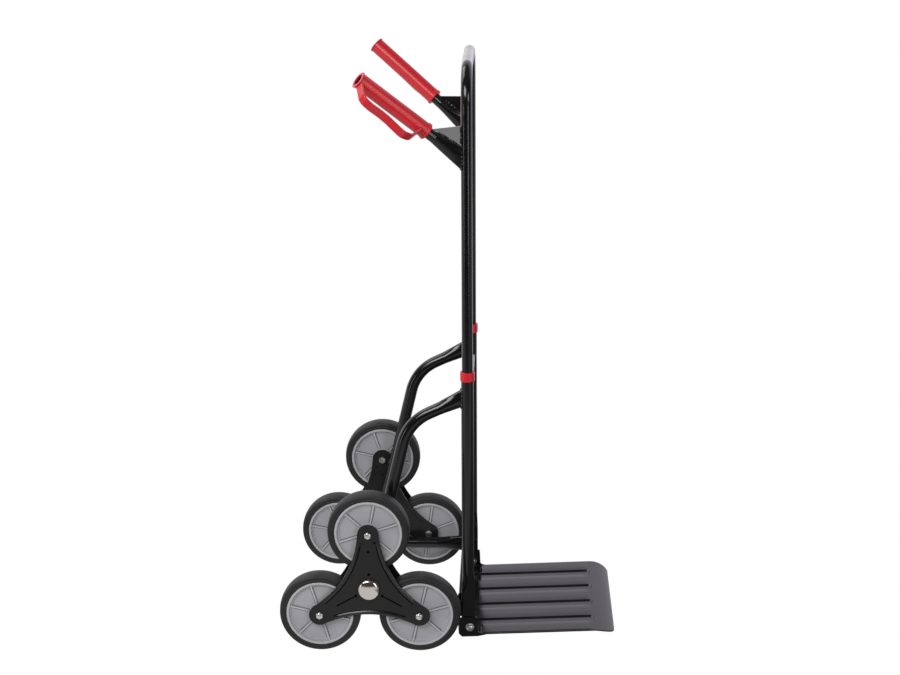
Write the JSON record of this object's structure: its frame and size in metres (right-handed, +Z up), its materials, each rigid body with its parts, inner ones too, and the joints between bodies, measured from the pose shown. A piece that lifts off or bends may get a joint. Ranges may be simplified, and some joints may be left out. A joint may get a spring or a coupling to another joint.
{
  "type": "stair-climbing hand truck",
  "caption": "Upright tube hand truck with a telescopic handle loop, splayed red grips, a folding toe plate and turning star-shaped wheel clusters that climb stairs.",
  "frame": {"origin": "on the floor, at the middle of the truck's length and width", "axes": "+X forward over the toe plate, +Y to the truck's left, +Z up"},
  "size_m": [0.66, 0.557, 1.144],
  "materials": {
    "frame_paint": "gloss black powder coat",
    "spider_paint": "satin black paint on pressed steel",
    "bright_steel": "zinc plated",
    "chrome": "polished chrome",
    "red_grip": "satin red moulding",
    "red_collar": "gloss red moulding",
    "rim_grey": "satin grey moulding",
    "tyre_rubber": "charcoal rubber",
    "nylon": "black nylon"
  },
  "bodies": {
    "lower_frame": {"left_lower_tube": "frame_paint", "right_lower_tube": "frame_paint", "left_wheel_arm": "frame_paint", "right_wheel_arm": "frame_paint", "lower_cross_tube": "frame_paint", "upper_cross_tube": "frame_paint", "axle": "bright_steel", "axle_spacers": "bright_steel", "axle_washers": "bright_steel", "axle_clips": "bright_steel", "left_collar": "red_collar", "right_collar": "red_collar", "hinge_bolts": "bright_steel", "hinge_washers": "bright_steel", "hinge_nuts": "bright_steel"},
    "upper_frame": {"loop_tube": "frame_paint", "left_handle_tube": "frame_paint", "right_handle_tube": "frame_paint", "left_gusset": "frame_paint", "right_gusset": "frame_paint", "left_grip": "red_grip", "right_grip": "red_grip", "slide_plugs": "nylon"},
    "toe_plate": {"toe_plate": "frame_paint"},
    "left_cluster": {"left_outer_spider": "spider_paint", "left_inner_spider": "spider_paint", "left_hub_tube": "spider_paint", "left_hub_bushes": "nylon", "left_hub_cap": "chrome", "left_wheel_sleeves": "bright_steel", "left_wheel_bolts": "bright_steel", "left_wheel_nuts": "bright_steel"},
    "left_top_wheel": {"left_top_rim": "rim_grey", "left_top_tyre": "tyre_rubber", "left_top_bushes": "nylon"},
    "left_rear_wheel": {"left_rear_rim": "rim_grey", "left_rear_tyre": "tyre_rubber", "left_rear_bushes": "nylon"},
    "left_front_wheel": {"left_front_rim": "rim_grey", "left_front_tyre": "tyre_rubber", "left_front_bushes": "nylon"},
    "right_cluster": {"right_outer_spider": "spider_paint", "right_inner_spider": "spider_paint", "right_hub_tube": "spider_paint", "right_hub_bushes": "nylon", "right_hub_cap": "chrome", "right_wheel_sleeves": "bright_steel", "right_wheel_bolts": "bright_steel", "right_wheel_nuts": "bright_steel"},
    "right_top_wheel": {"right_top_rim": "rim_grey", "right_top_tyre": "tyre_rubber", "right_top_bushes": "nylon"},
    "right_rear_wheel": {"right_rear_rim": "rim_grey", "right_rear_tyre": "tyre_rubber", "right_rear_bushes": "nylon"},
    "right_front_wheel": {"right_front_rim": "rim_grey", "right_front_tyre": "tyre_rubber", "right_front_bushes": "nylon"}
  },
  "joints": [
    {"name": "handle_slide", "type": "slide", "parent": "lower_frame", "child": "upper_frame", "axis": [0, 0, 1], "range_m": [-0.29, 0]},
    {"name": "toe_fold", "type": "hinge", "parent": "lower_frame", "child": "toe_plate", "pos_m": [0.042, 0, 0.027], "axis": [0, -1, 0], "range_deg": [0, 87]},
    {"name": "left_cluster_spin", "type": "hinge", "parent": "lower_frame", "child": "left_cluster", "pos_m": [-0.1525, 0, 0.13629], "axis": [0, 1, 0], "continuous": true},
    {"name": "left_top_wheel_spin", "type": "hinge", "parent": "left_cluster", "child": "left_top_wheel", "pos_m": [-0.1525, 0, 0.24888], "axis": [0, 1, 0], "continuous": true},
    {"name": "left_rear_wheel_spin", "type": "hinge", "parent": "left_cluster", "child": "left_rear_wheel", "pos_m": [-0.25, 0, 0.08], "axis": [0, 1, 0], "continuous": true},
    {"name": "left_front_wheel_spin", "type": "hinge", "parent": "left_cluster", "child": "left_front_wheel", "pos_m": [-0.055, 0, 0.08], "axis": [0, 1, 0], "continuous": true},
    {"name": "right_cluster_spin", "type": "hinge", "parent": "lower_frame", "child": "right_cluster", "pos_m": [-0.1525, 0, 0.13629], "axis": [0, 1, 0], "continuous": true},
    {"name": "right_top_wheel_spin", "type": "hinge", "parent": "right_cluster", "child": "right_top_wheel", "pos_m": [-0.1525, 0, 0.24888], "axis": [0, 1, 0], "continuous": true},
    {"name": "right_rear_wheel_spin", "type": "hinge", "parent": "right_cluster", "child": "right_rear_wheel", "pos_m": [-0.25, 0, 0.08], "axis": [0, 1, 0], "continuous": true},
    {"name": "right_front_wheel_spin", "type": "hinge", "parent": "right_cluster", "child": "right_front_wheel", "pos_m": [-0.055, 0, 0.08], "axis": [0, 1, 0], "continuous": true}
  ]
}
